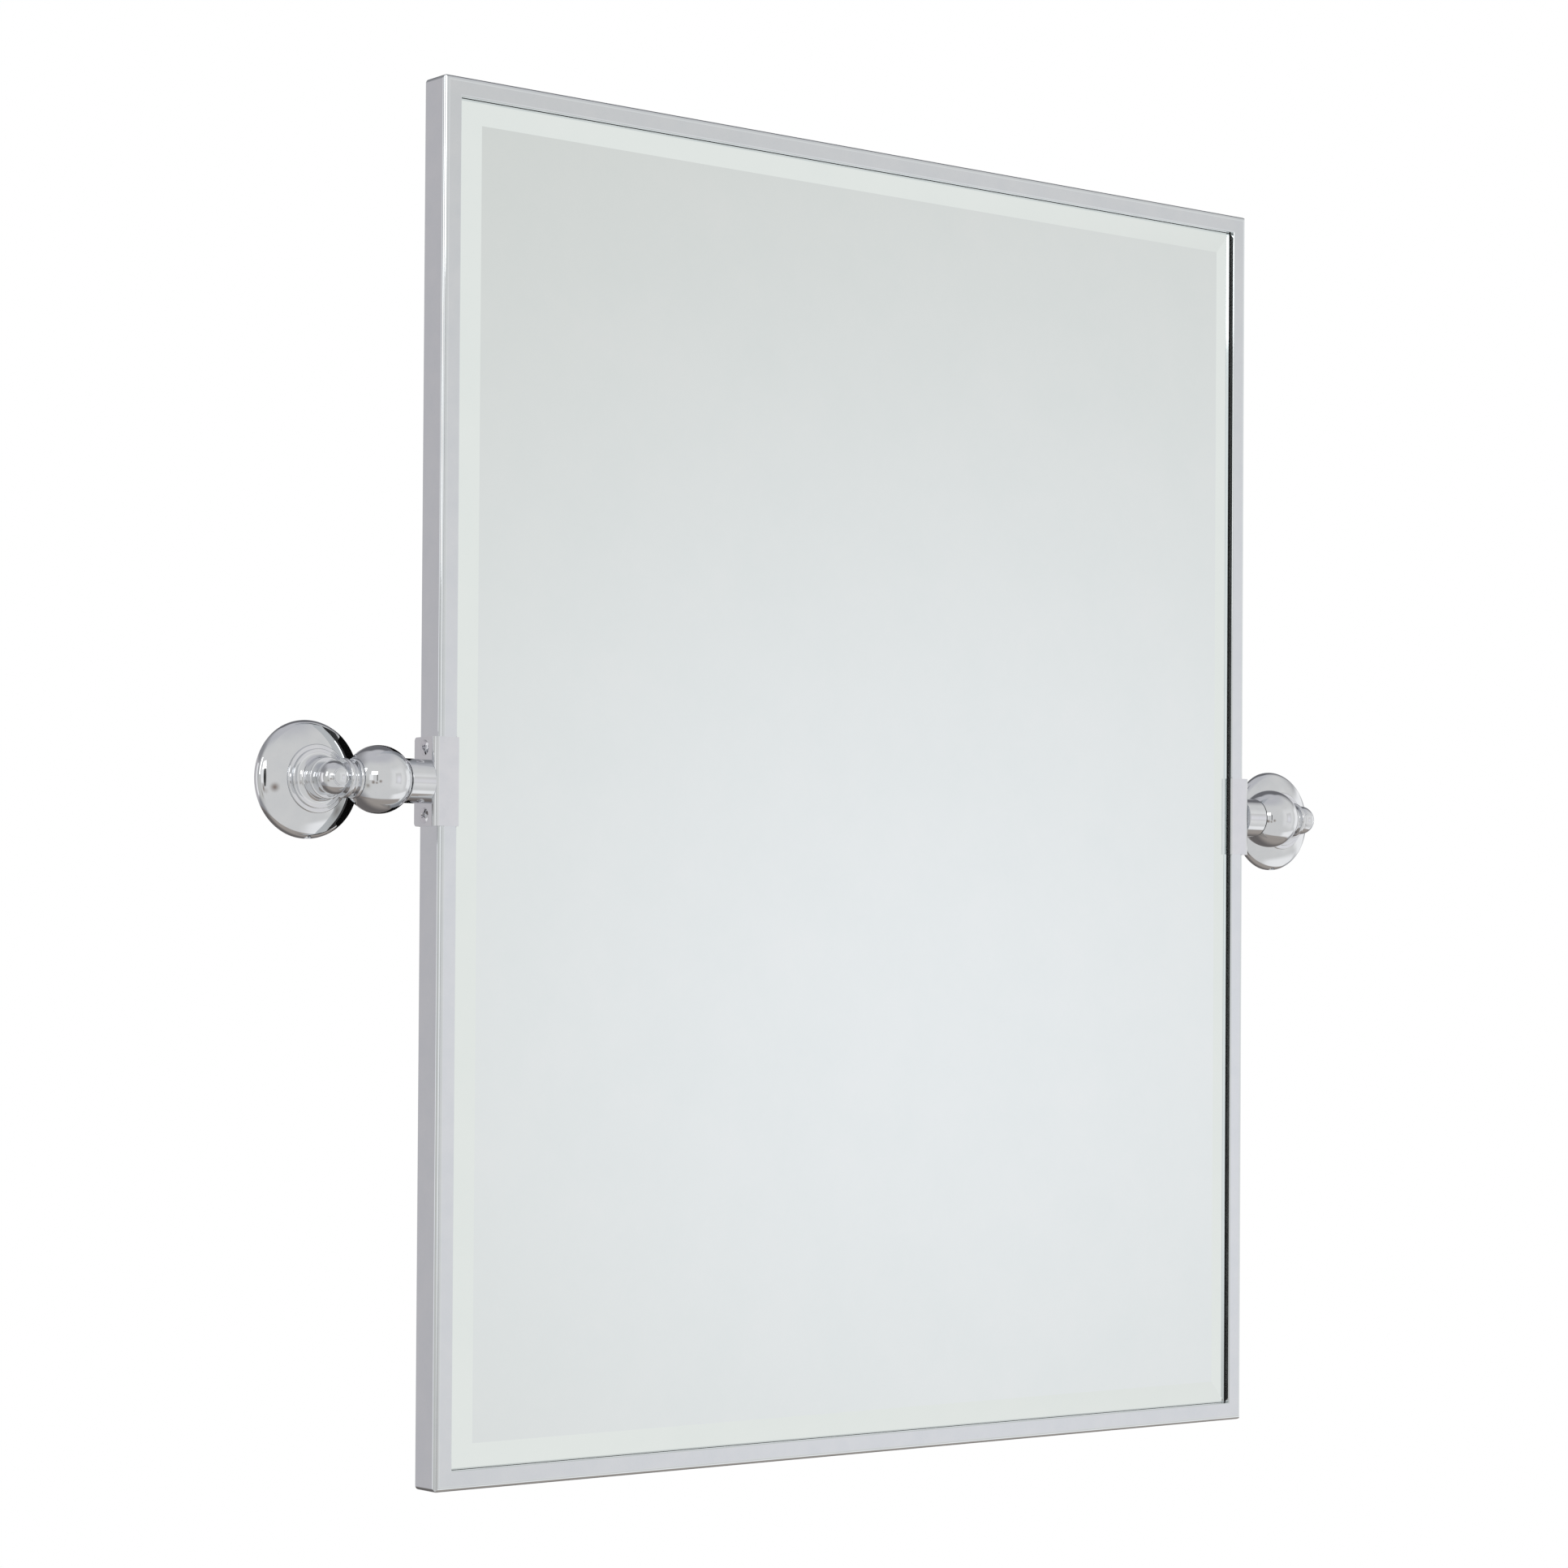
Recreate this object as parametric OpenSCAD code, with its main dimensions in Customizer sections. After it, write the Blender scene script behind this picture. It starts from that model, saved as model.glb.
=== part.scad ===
// Pivot wall mirror: a bevelled mirror in a polished, rolled metal frame, hung
// between two wall posts. Each post carries a turned arm and a ball. A saddle
// clip on the frame turns on a pivot pin that is screwed into the ball.
//
// Millimetres, +Z up. The wall is the plane y = 0 and the mirror faces -Y. The
// origin is the centre of the four wall screw holes, level with the pivots.

/* [Frame] */
// Overall width of the frame
frame_w = 610; // [450:5:760]
// Overall height of the frame
frame_h = 762; // [560:2:960]
// Depth of the frame from its front face to its back edge
frame_d = 19; // [18:0.5:22]
// Width of the front face, seen from the room
face_w = 11; // [10:0.5:14]
// Wall thickness of the rolled rails
rail_wall = 1.5; // [1.2:0.1:1.8]
// How deep the inner return reaches behind the front face
return_d = 3; // [2.6:0.2:4]
// Radius along the outer front edges
edge_r = 3; // [2:0.2:3]
// Radius along the inner front edge
inner_edge_r = 0.8; // [0.4:0.1:1]
// Radius of the four outer corners
corner_r = 2.6; // [1.6:0.2:4]

/* [Glass and backing] */
// Thickness of the glass behind its flat front
glass_t = 5; // [4:0.5:6]
// Thickness of the glass at its bevelled edge
glass_edge_t = 2.2; // [1.6:0.2:3]
// Width of the bevel round the glass
bevel_w = 18; // [12:1:25]
// How far the glass reaches behind the front face
glass_cover = 4; // [3:0.5:5]
// Thickness of the black tape between the frame and the glass
tape_t = 0.8; // [0.5:0.1:1.2]
// Thickness of the foam behind the glass
foam_t = 1.5; // [1:0.5:2]
// Thickness of the hardboard behind the foam
board_t = 3; // [2:0.5:4]
// Thickness of the tabs that hold the hardboard
tab_t = 1.2; // [0.8:0.2:1.6]
// Width of each tab
tab_w = 20; // [12:2:30]
// How far each tab reaches over the hardboard
tab_reach = 12; // [8:1:20]
// Height of the leg that joins each tab to the frame
tab_leg = 5; // [3:0.5:6]
// Largest distance from one tab to the next
tab_pitch = 400; // [200:10:420]

/* [Saddle clips] */
// Height of each clip
clip_h = 48; // [42:1:60]
// Thickness of the clip beside the frame
clip_t = 4; // [3.2:0.2:5]
// Thickness of the lip over the front face
lip_t = 1; // [0.8:0.1:1.5]
// How deep the lip's end hooks behind the front face
hook_d = 2.4; // [1.5:0.1:2.6]
// Radius along the clip's outer front edge
clip_edge_r = 3; // [1.6:0.2:3.4]
// Radius of the clip's back corners
clip_corner_r = 2; // [1:0.5:3]
// Radius of the boss
boss_r = 12; // [11:0.5:13]
// Length of the boss, from the clip's side to its end
boss_len = 14.5; // [12:0.5:18]
// Distance between the clip's two screws
clip_screw_pitch = 36.5; // [34:0.5:44]
// Radius of the clip screws' thread
clip_screw_r = 2.2; // [1.8:0.1:2.4]
// Radius of the clip screws' head
clip_head_r = 4.2; // [3.6:0.1:4.4]
// Thickness of the nut plate inside the frame
nut_plate_t = 3; // [2:0.5:3.5]
// Depth of the nut plate, from front to back
nut_plate_d = 11; // [9:1:12]

/* [Pivots] */
// Distance from the wall to the pivot axis
standoff = 28; // [27.8:0.2:60]
// Radius of the ball
ball_r = 18.3; // [17:0.1:18.4]
// Distance from the ball's centre to its flat beside the clip
ball_flat = 14; // [12:0.5:15]
// Distance from the ball's centre to its flat beside the arm
arm_flat = 14.8; // [13.8:0.2:15.4]
// Radius of the pin where it turns in the bush
pin_r = 4; // [3.5:0.1:4.5]
// Radius of the pin's head
pin_head_r = 6.4; // [6:0.1:6.6]
// Thickness of the pin's head
pin_head_t = 2.6; // [2:0.2:3]
// Radius of the threads that join pin, ball and arm
stud_r = 3; // [2.5:0.1:3.2]
// Wall thickness of the bush
bush_wall = 1.4; // [1:0.1:2]
// Thickness of the bush's flange
bush_flange_t = 1; // [0.6:0.1:1.4]
// Height of the spring washer under the pin's head
spring_h = 0.9; // [0.7:0.1:1.2]
// Radius of the friction washer between clip and ball
friction_r = 10.6; // [9:0.2:11.4]
// Thickness of the friction washer
friction_t = 0.5; // [0.4:0.1:1]

/* [Arms and posts] */
// Distance from the ball's centre to the axis of the post
arm_len = 28; // [27.9:0.1:34]
// Radius of the arm's ring beside the ball
ring_r = 10.8; // [9.6:0.1:10.8]
// Radius at the bottom of the groove beside that ring
groove_r = 7.6; // [6.6:0.1:8.4]
// Radius of the arm's collar beside its round end
collar_r = 10.7; // [9.8:0.1:10.8]
// Radius of the arm's round end
knob_r = 9; // [8.4:0.1:9.4]
// Radius of the ring that is turned into the front of the round end
knob_ring_r = 4.6; // [3.6:0.1:4.6]
// Radius of the post's cup, which carries the round end
cup_r = 11.1; // [10.4:0.1:11.1]
// Depth to which the round end sits in the cup
seat_d = 3.8; // [3:0.1:4.5]
// Radius of the post's coved foot, where it leaves the rings
foot_r = 14.2; // [12.6:0.1:14.4]

/* [Flanges and wall plates] */
// Radius of the flange at the wall
flange_r = 31.75; // [30:0.25:36]
// Wall thickness of the flange
flange_wall = 1.5; // [1.2:0.1:1.8]
// Height at which the flange's dome would meet its side, were the edge not rolled
edge_h = 3.6; // [3.4:0.1:5]
// Radius of the flange's rolled edge
flange_edge_r = 6; // [2:0.2:6.4]
// Height of the flange's crown, where the post stands
crown_h = 11.2; // [10.6:0.1:11.2]
// Radius of the post's base ring
base_ring_r = 18.4; // [17.5:0.1:18.4]
// Radius of the ring above it
step_ring_r = 16; // [15:0.1:16.2]
// Radius of the wall plate
plate_r = 26; // [24:0.5:26.5]
// Thickness of the wall plate
plate_t = 5; // [4.4:0.2:5]
// Distance between the two wall screw holes of one plate
plate_pitch = 30; // [28:1:34]
// Radius of the wall screw holes
wall_hole_r = 2.4; // [2:0.1:2.8]

/* [Clearances] */
// Radial play of the pin in its bush
running_gap = 0.06; // [0.02:0.01:0.1]
// Radial play of a thread or plug in its hole
fit_gap = 0.05; // [0.02:0.01:0.1]
// Radial play of a screw that passes through a hole
screw_gap = 0.25; // [0.15:0.05:0.4]

/* [Hidden] */
$fn = 64;

// A little more than nothing, for cuts that pass a face
eps = 0.02;

// Places across the object
frame_side = frame_w / 2;
clip_side = frame_side + clip_t;
boss_end = clip_side + boss_len;
ball_x = boss_end + friction_t + ball_flat;
post_x = ball_x + arm_len;

// Places from the wall towards the room
front_y = -standoff - frame_d / 2;
glass_slope = (glass_t - glass_edge_t) / bevel_w;
glass_back = return_d + tape_t + glass_edge_t + glass_slope * glass_cover;
foam_back = glass_back + foam_t;
board_back = foam_back + board_t;
pack_inset = face_w - glass_cover;

// The stack on the pivot axis, outwards from the frame's side
head_gap = 0.5;
head_end = head_gap + pin_head_t;
spring_end = head_end + spring_h;
counterbore_d = spring_end + bush_flange_t;
counterbore_r = pin_head_r + 0.6;
bush_r = pin_r + running_gap + bush_wall;
ball_thread_d = 12;
arm_thread_d = 10;
thread_end_gap = 0.5;

// The stack on the post's axis, outwards from the wall
crown_t = 2;
post_head_h = 4;
post_head_r = 5;
base_top = crown_h + 1.5;
step_top = base_top + 1.4;
cup_top = standoff - knob_r + seat_d;
post_thread_d = 4;
set_screw_r = 2;
set_screw_len = 4.9;
groove_d = 1;

// Puts a shape that is drawn for the right side on the left or right
module on_side(side) {
    if (side < 0) mirror([1, 0, 0]) children();
    else children();
}

// Turns a shape drawn along +Z to lie along +X
module along_x() {
    rotate([0, 90, 0]) children();
}

// Turns a shape drawn along +Z to stand out from the wall, along -Y
module from_wall() {
    rotate([90, 0, 0]) children();
}

// A flat ring with round outer edges, as half a section beside the axis
module ring_section(r, low, high) {
    round_r = (high - low) / 2;
    translate([0, low]) square([r - round_r, high - low]);
    translate([r - round_r, low + round_r]) circle(r = round_r);
}

// ---------------------------------------------------------------- frame rails

// A rectangle whose corner at the origin is rounded
module round_corner(size, r) {
    translate([r, 0]) square([size[0] - r, size[1]]);
    translate([0, r]) square([size[0], size[1] - r]);
    translate([r, r]) circle(r = r);
}

// Section of a rolled rail: x runs inwards from the outer side, y to the wall
module rail_section() {
    inner_r = edge_r - rail_wall;
    difference() {
        union() {
            intersection() {
                round_corner([face_w, frame_d], edge_r);
                square([face_w - inner_edge_r, frame_d]);
            }
            translate([face_w - rail_wall, inner_edge_r]) square([rail_wall, frame_d]);
            translate([face_w - inner_edge_r, inner_edge_r]) circle(r = inner_edge_r);
        }
        translate([rail_wall, rail_wall])
            round_corner([face_w - 2 * rail_wall, frame_d], inner_r);
        translate([rail_wall, return_d]) square([face_w, frame_d]);
        translate([-eps, frame_d]) square([face_w + 2 * eps, frame_d]);
    }
}

// The frame's outline seen from the room, with its round corners
module frame_outline() {
    w = frame_w / 2;
    h = frame_h / 2;
    square([frame_w - 2 * corner_r, frame_h], center = true);
    square([frame_w, frame_h - 2 * corner_r], center = true);
    for (x = [-1, 1], z = [-1, 1])
        translate([x * (w - corner_r), z * (h - corner_r)]) circle(r = corner_r);
}

// A left-hand rail of this length, mitred at both ends
module mitred_rail(length, half_span) {
    mitre = face_w + 2;
    intersection() {
        translate([-half_span, front_y, 0])
            linear_extrude(length, center = true) rail_section();
        translate([0, -standoff + frame_d, 0])
            rotate([90, 0, 0])
                linear_extrude(2 * frame_d)
                    polygon([
                        [-half_span, -length / 2],
                        [-half_span + mitre, -length / 2 + mitre],
                        [-half_span + mitre, length / 2 - mitre],
                        [-half_span, length / 2]
                    ]);
    }
}

// Keeps what lies inside the frame's outline
module trim_to_outline() {
    intersection() {
        children();
        translate([0, -standoff + frame_d, 0])
            rotate([90, 0, 0]) linear_extrude(2 * frame_d) frame_outline();
    }
}

module side_rail(side) {
    color("lightgray") on_side(-side) difference() {
        trim_to_outline() mitred_rail(frame_h, frame_side);
        for (z = [-1, 1])
            translate([-frame_side - eps, -standoff, z * clip_screw_pitch / 2])
                along_x() cylinder(r = clip_screw_r + screw_gap, h = rail_wall + 2 * eps);
    }
}

module end_rail(end) {
    color("lightgray")
        trim_to_outline()
            rotate([0, 90 * end, 0]) mitred_rail(frame_w, frame_h / 2);
}

// ------------------------------------------------------------- glass and back

// A rectangular sheet inside the frame, between two depths behind the face
module sheet(inset, front, back) {
    translate([0, front_y + (front + back) / 2, 0])
        cube([frame_w - 2 * inset, back - front, frame_h - 2 * inset], center = true);
}

// Section across the glass: x along its width, y to the wall
module glass_section(width) {
    flat = width / 2 - bevel_w;
    polygon([
        [-width / 2, glass_back],
        [-width / 2, glass_back - glass_edge_t],
        [-flat, glass_back - glass_t],
        [flat, glass_back - glass_t],
        [width / 2, glass_back - glass_edge_t],
        [width / 2, glass_back]
    ]);
}

module mirror_glass() {
    glass_w = frame_w - 2 * pack_inset;
    glass_h = frame_h - 2 * pack_inset;
    color("whitesmoke") translate([0, front_y, 0]) intersection() {
        linear_extrude(glass_h, center = true) glass_section(glass_w);
        rotate([0, 90, 0]) linear_extrude(glass_w, center = true) glass_section(glass_h);
    }
}

// Four strips of black tape behind the frame's inner return
module glazing_tape() {
    inner_w = frame_w - 2 * face_w;
    inner_h = frame_h - 2 * face_w;
    tape_y = front_y + return_d;
    color("black") {
        for (x = [-1, 1])
            translate([x * (inner_w + rail_wall) / 2, tape_y + tape_t / 2, 0])
                cube([rail_wall, tape_t, inner_h + 2 * rail_wall], center = true);
        for (z = [-1, 1])
            translate([0, tape_y + tape_t / 2, z * (inner_h + rail_wall) / 2])
                cube([inner_w - fit_gap, tape_t, rail_wall], center = true);
    }
}

module foam_sheet() {
    color("white") sheet(pack_inset, glass_back, foam_back);
}

module backing_board() {
    color("dimgray") sheet(pack_inset, foam_back, board_back);
}

// One tab beside the left rail, with its leg against the rail's inner face
module retainer_tab(half_span) {
    low = front_y + board_back;
    translate([-half_span + rail_wall, low, -tab_w / 2])
        cube([pack_inset - rail_wall + tab_reach, tab_t, tab_w]);
    translate([-half_span + rail_wall, low, -tab_w / 2])
        cube([tab_t, tab_leg, tab_w]);
}

// Places of the tabs along a rail: evenly spread, never at its middle
function tab_places(length) =
    let (pairs = max(1, ceil(length / tab_pitch / 2)))
    let (step = length / (2 * pairs))
    [for (i = [0 : 2 * pairs - 1]) (i + 0.5) * step - length / 2];

module retainer_tabs() {
    color("silver") {
        for (turn = [0, 180], z = tab_places(frame_h))
            rotate([0, turn, 0]) translate([0, 0, z]) retainer_tab(frame_side);
        for (turn = [90, 270], x = tab_places(frame_w))
            rotate([0, turn, 0]) translate([0, 0, x]) retainer_tab(frame_h / 2);
    }
}

// ---------------------------------------------------------------- saddle clip

// Section of the clip: x outwards from the frame's side, y to the wall
module clip_section() {
    r = clip_edge_r;
    lip_end = face_w + lip_t;
    translate([0, r - lip_t]) square([clip_t, frame_d - r + lip_t]);
    translate([-face_w, -lip_t]) square([face_w + clip_t - r, lip_t]);
    intersection() {
        translate([clip_t, -lip_t]) mirror([1, 0]) round_corner([2 * r, 2 * r], r);
        translate([0, -lip_t]) square([clip_t, r]);
    }
    translate([-lip_end, 0]) square([lip_t, hook_d]);
    intersection() {
        translate([-face_w, 0]) circle(r = lip_t);
        translate([-lip_end, -lip_t]) square([lip_t, lip_t]);
    }
}

// Removes a round corner at the clip's back, above or below
module clip_back_corner(end) {
    r = clip_corner_r;
    translate([-eps, frame_d, end * clip_h / 2])
        along_x() difference() {
            linear_extrude(clip_t + 2 * eps) square(2 * r, center = true);
            translate([end * r, -r, -eps]) cylinder(r = r, h = clip_t + 4 * eps);
        }
}

// The boss and the hollows on the pivot axis
module clip_boss() {
    edge = 0.6;
    along_x() rotate_extrude() {
        translate([0, clip_t - 1]) square([frame_d / 2 - 1, 2]);
        translate([0, clip_t]) square([boss_r, boss_len - edge]);
        translate([0, clip_t]) square([boss_r - edge, boss_len]);
        translate([boss_r - edge, clip_t + boss_len - edge]) circle(r = edge);
    }
}

module clip_hollows() {
    sink_d = clip_head_r - clip_screw_r - screw_gap;
    along_x() {
        translate([0, 0, -eps]) cylinder(r = counterbore_r, h = counterbore_d + eps);
        cylinder(r = bush_r + fit_gap, h = clip_t + boss_len + eps);
    }
    for (z = [-1, 1])
        translate([0, 0, z * clip_screw_pitch / 2]) along_x() {
            translate([0, 0, -eps]) cylinder(r = clip_screw_r + screw_gap, h = clip_t + 2 * eps);
            translate([0, 0, clip_t - sink_d])
                cylinder(r1 = clip_screw_r + screw_gap, r2 = clip_head_r + fit_gap, h = sink_d + eps);
        }
}

module clip(side) {
    color("silver") on_side(side) translate([frame_side, -standoff, 0]) difference() {
        union() {
            translate([0, -frame_d / 2, 0]) difference() {
                linear_extrude(clip_h, center = true) clip_section();
                for (end = [-1, 1]) clip_back_corner(end);
            }
            clip_boss();
        }
        clip_hollows();
    }
}

// Raised countersunk screw with a cross recess, its head's rim at z = 0
module clip_screw() {
    sink_d = clip_head_r - clip_screw_r - screw_gap;
    dome_h = 0.8;
    dome_r = (clip_head_r * clip_head_r + dome_h * dome_h) / (2 * dome_h);
    slot_w = 1;
    slot_l = 4;
    length = clip_t + rail_wall + nut_plate_t + 0.8;
    difference() {
        union() {
            translate([0, 0, -sink_d]) cylinder(r1 = clip_screw_r, r2 = clip_head_r, h = sink_d);
            translate([0, 0, -length]) cylinder(r = clip_screw_r, h = length - sink_d + eps);
            intersection() {
                translate([0, 0, dome_h - dome_r]) sphere(r = dome_r, $fn = 128);
                translate([0, 0, -eps]) cylinder(r = clip_head_r, h = 2 * dome_h);
            }
        }
        for (turn = [0, 90])
            rotate([0, 0, turn]) translate([-slot_l / 2, -slot_w / 2, -1]) cube([slot_l, slot_w, 3]);
    }
}

module clip_screws() {
    color("silver") for (side = [-1, 1], z = [-1, 1])
        on_side(side)
            translate([clip_side, -standoff, z * clip_screw_pitch / 2]) along_x() clip_screw();
}

// Steel plate inside the frame that takes the clip's two screws
module nut_plate(side) {
    plate_h = clip_h - 2;
    color("dimgray") on_side(side) difference() {
        translate([frame_side - rail_wall - nut_plate_t, -standoff - nut_plate_d / 2, -plate_h / 2])
            cube([nut_plate_t, nut_plate_d, plate_h]);
        for (z = [-1, 1])
            translate([frame_side - rail_wall - nut_plate_t - eps, -standoff, z * clip_screw_pitch / 2])
                along_x() cylinder(r = clip_screw_r + fit_gap, h = nut_plate_t + 2 * eps);
    }
}

// --------------------------------------------------------------------- pivots

// Places a shape drawn along +Z on the pivot axis, from the frame's side
module on_pivot(side) {
    on_side(side) translate([frame_side, -standoff, 0]) along_x() children();
}

module pivot_bush(side) {
    color("ivory") on_pivot(side) difference() {
        union() {
            translate([0, 0, spring_end]) cylinder(r = pin_head_r, h = bush_flange_t);
            translate([0, 0, spring_end]) cylinder(r = bush_r, h = clip_t + boss_len - spring_end);
        }
        translate([0, 0, spring_end - eps])
            cylinder(r = pin_r + running_gap, h = clip_t + boss_len - spring_end + 2 * eps);
    }
}

// Dished spring washer, held between the pin's head and the bush
module spring_washer(side) {
    metal_t = 0.5;
    color("dimgray") on_pivot(side) translate([0, 0, head_end]) rotate_extrude()
        polygon([
            [pin_r + screw_gap, 0],
            [pin_head_r - screw_gap, spring_h - metal_t],
            [pin_head_r - screw_gap, spring_h],
            [pin_r + screw_gap, metal_t]
        ]);
}

module pivot_pin(side) {
    edge = 0.5;
    shoulder_end = clip_t + boss_len + friction_t;
    color("gray") on_pivot(side) difference() {
        rotate_extrude() polygon([
            [0, head_gap],
            [pin_head_r - edge, head_gap],
            [pin_head_r, head_gap + edge],
            [pin_head_r, head_end],
            [pin_r, head_end],
            [pin_r, shoulder_end],
            [stud_r, shoulder_end],
            [stud_r, shoulder_end + ball_thread_d - edge],
            [stud_r - edge, shoulder_end + ball_thread_d],
            [0, shoulder_end + ball_thread_d]
        ]);
        translate([0, 0, head_gap - eps]) cylinder(r = 2.3, h = 1.8, $fn = 6);
    }
}

module friction_washer(side) {
    color("black") on_pivot(side) translate([0, 0, clip_t + boss_len]) difference() {
        cylinder(r = friction_r, h = friction_t);
        translate([0, 0, -eps]) cylinder(r = pin_r + screw_gap, h = friction_t + 2 * eps);
    }
}

// ---------------------------------------------------------------- ball and arm

module ball(side) {
    color("silver") on_side(side) translate([ball_x, -standoff, 0]) along_x() difference() {
        intersection() {
            sphere(r = ball_r, $fn = 96);
            translate([0, 0, -ball_flat]) cylinder(r = ball_r + 1, h = ball_flat + arm_flat);
        }
        translate([0, 0, -ball_flat - eps])
            cylinder(r = stud_r + fit_gap, h = ball_thread_d + thread_end_gap + eps);
        translate([0, 0, arm_flat - arm_thread_d - thread_end_gap])
            cylinder(r = stud_r + fit_gap, h = arm_thread_d + thread_end_gap + eps);
    }
}

// The turned arm along +Z, from the ball's flat at z = 0 to its round end
module arm_turning() {
    ring_h = 2;
    groove_h = 3.2;
    collar_h = 2.8;
    neck_r = groove_r + groove_h / 2;
    knob_z = arm_len - arm_flat;
    rotate_extrude() {
        translate([0, -arm_thread_d]) square([stud_r, arm_thread_d + 1]);
        ring_section(ring_r, 0, ring_h);
        difference() {
            translate([0, ring_h - 0.5]) square([neck_r, groove_h + 1]);
            translate([neck_r, ring_h + groove_h / 2]) circle(r = groove_h / 2);
        }
        ring_section(collar_r, ring_h + groove_h, ring_h + groove_h + collar_h);
        translate([0, ring_h + groove_h]) square([knob_r - 2, knob_z - ring_h - groove_h]);
    }
    translate([0, 0, knob_z]) sphere(r = knob_r, $fn = 96);
}

module arm(side) {
    color("silver") on_side(side) difference() {
        translate([ball_x + arm_flat, -standoff, 0]) along_x() arm_turning();
        translate([post_x, 0, 0]) from_wall() {
            difference() {
                rotate_extrude() cup_section(fit_gap);
                translate([0, 0, standoff]) sphere(r = knob_r, $fn = 96);
            }
            cylinder(r = stud_r + fit_gap, h = standoff + post_thread_d + thread_end_gap);
            translate([0, 0, standoff]) knob_ring();
        }
    }
}

// A fine ring groove in the front of the round end
module knob_ring() {
    groove_w = 0.9;
    depth_z = sqrt(knob_r * knob_r - knob_ring_r * knob_ring_r);
    rotate_extrude() translate([knob_ring_r, depth_z]) circle(r = groove_w / 2);
}

// ------------------------------------------------------------ post and flange

// Half section of the post's cup and its coved foot: x from its axis, y from the wall
module cup_section(gap) {
    edge = 0.7;
    cove_r = foot_r - cup_r;
    rim_h = cup_top + gap;
    translate([0, step_top]) square([cup_r + gap, rim_h - step_top - edge]);
    translate([0, rim_h - 2 * edge]) square([cup_r + gap - edge, 2 * edge]);
    translate([cup_r + gap - edge, rim_h - edge]) circle(r = edge);
    difference() {
        translate([0, step_top]) square([foot_r + gap, cove_r + gap]);
        translate([foot_r + gap, step_top + cove_r + gap]) circle(r = cove_r);
    }
}

// Half section of the whole post, with the two rings at its foot
module post_section() {
    ring_section(base_ring_r, crown_h, base_top);
    ring_section(step_ring_r, base_top, step_top);
    cup_section(0);
}

module post(side) {
    color("silver") on_side(side) translate([post_x, 0, 0]) from_wall() difference() {
        rotate_extrude() post_section();
        translate([0, 0, standoff]) sphere(r = knob_r + fit_gap, $fn = 96);
        translate([0, 0, crown_h - eps]) cylinder(r = stud_r + screw_gap, h = standoff);
    }
}

module post_screws() {
    color("gray") for (side = [-1, 1])
        on_side(side) translate([post_x, 0, 0]) from_wall() difference() {
            union() {
                translate([0, 0, crown_h - crown_t - post_head_h])
                    cylinder(r = post_head_r, h = post_head_h);
                translate([0, 0, crown_h - crown_t - 1])
                    cylinder(r = stud_r, h = standoff + post_thread_d - crown_h + crown_t + 1);
            }
            translate([0, 0, crown_h - crown_t - post_head_h - eps])
                cylinder(r = 2.9, h = 2.5, $fn = 6);
        }
}

// The domed front is part of a large circle round a point on the axis. It passes
// the foot of the post's base ring and runs smoothly into the rolled edge
dome_centre = (edge_h + crown_h
    - (flange_r * flange_r - base_ring_r * base_ring_r) / (crown_h - edge_h)) / 2;
dome_r = norm([base_ring_r, crown_h - dome_centre]);
roll_x = flange_r - flange_edge_r;
roll_y = dome_centre + sqrt(pow(dome_r - flange_edge_r, 2) - roll_x * roll_x);

// Half section of the flange, filled up to top and drawn in by inset on all sides
module flange_section(inset, top) {
    meeting_x = roll_x * (dome_r - inset) / (dome_r - flange_edge_r);
    square([flange_r - inset, roll_y]);
    translate([roll_x, roll_y]) intersection() {
        circle(r = flange_edge_r - inset);
        square(flange_edge_r - inset);
    }
    intersection() {
        translate([0, dome_centre]) circle(r = dome_r - inset, $fn = 256);
        square([meeting_x, top]);
    }
}

module flange(side) {
    screw_z = plate_t / 2;
    boss_w = 8;
    boss_start = flange_r - flange_wall / 2;
    color("silver") on_side(side) translate([post_x, 0, 0]) from_wall() difference() {
        union() {
            rotate_extrude() difference() {
                flange_section(0, crown_h);
                flange_section(flange_wall, crown_h - crown_t);
                translate([0, -1]) square([flange_r - flange_wall, 1 + eps]);
            }
            intersection() {
                rotate_extrude() flange_section(flange_wall / 2, crown_h);
                translate([-boss_w / 2, -boss_start, 0])
                    cube([boss_w, boss_start - plate_r - 0.6, plate_t + 1]);
            }
        }
        cylinder(r = stud_r + screw_gap, h = standoff);
        translate([0, 0, screw_z]) rotate([90, 0, 0]) cylinder(r = set_screw_r + fit_gap, h = flange_r + 1);
    }
}

// Grub screws that lock the flanges on the wall plates, from below
module set_screws() {
    tip = 1.2;
    start = plate_r - groove_d + 0.3;
    color("dimgray") for (side = [-1, 1])
        on_side(side) translate([post_x, -plate_t / 2, -start]) rotate([180, 0, 0]) difference() {
            union() {
                cylinder(r1 = 0.5, r2 = set_screw_r, h = tip);
                translate([0, 0, tip]) cylinder(r = set_screw_r, h = set_screw_len - tip);
            }
            translate([0, 0, set_screw_len - 1.8]) cylinder(r = 1.15, h = 2, $fn = 6);
        }
}

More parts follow.
